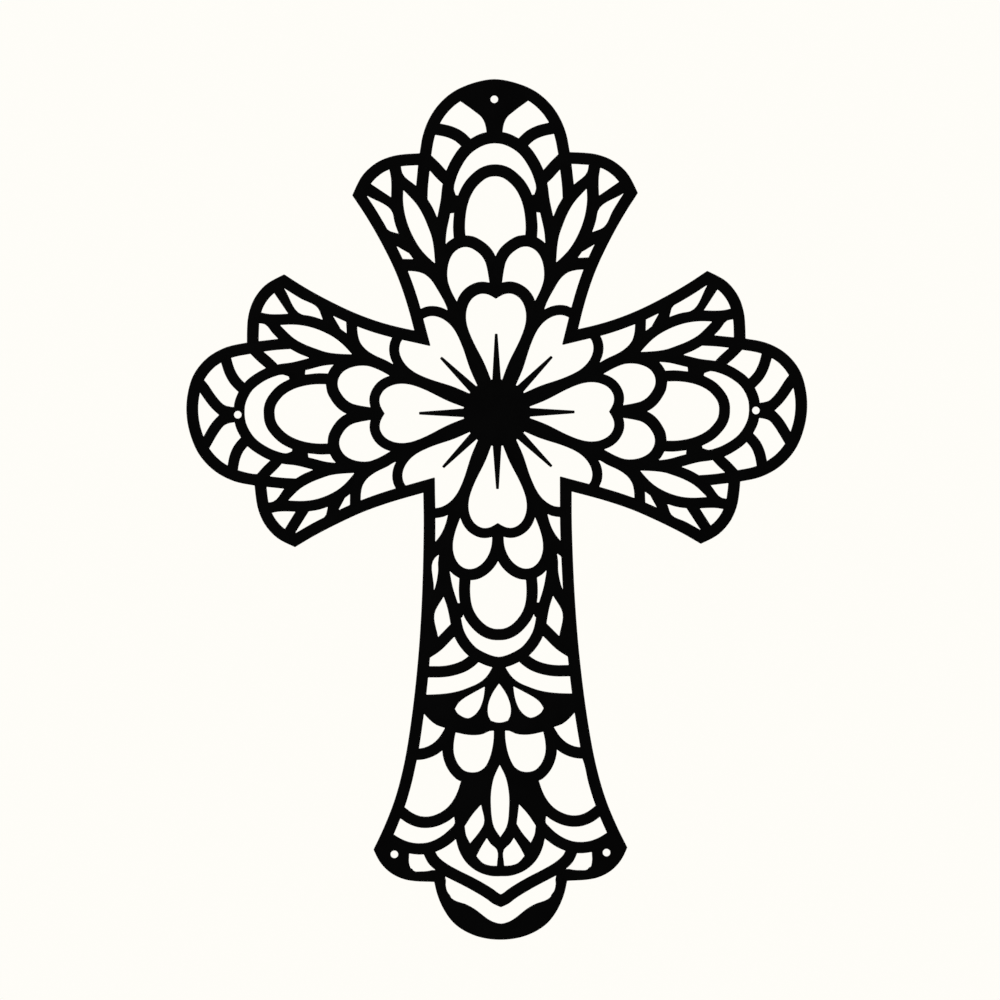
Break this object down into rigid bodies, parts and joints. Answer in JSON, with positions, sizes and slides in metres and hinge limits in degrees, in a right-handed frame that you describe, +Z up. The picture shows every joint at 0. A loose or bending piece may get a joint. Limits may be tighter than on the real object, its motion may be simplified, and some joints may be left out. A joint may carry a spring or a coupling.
{
  "type": "wall cross",
  "caption": "Flat wall cross cut from sheet iron as a lattice: a flower of heart-shaped petals, three flared arms with rounded ends and a longer foot, with small screw holes.",
  "frame": {"origin": "middle of the flower on the back face, which lies against the wall", "axes": "+Z up along the top arm, +X to the right of someone who looks at the front, +Y into the wall, so the front faces -Y"},
  "size_m": [0.2886, 0.002, 0.4],
  "materials": {
    "black_coat": "matt black powder coat"
  },
  "bodies": {
    "root": {"cross_plate": "black_coat"}
  },
  "joints": []
}
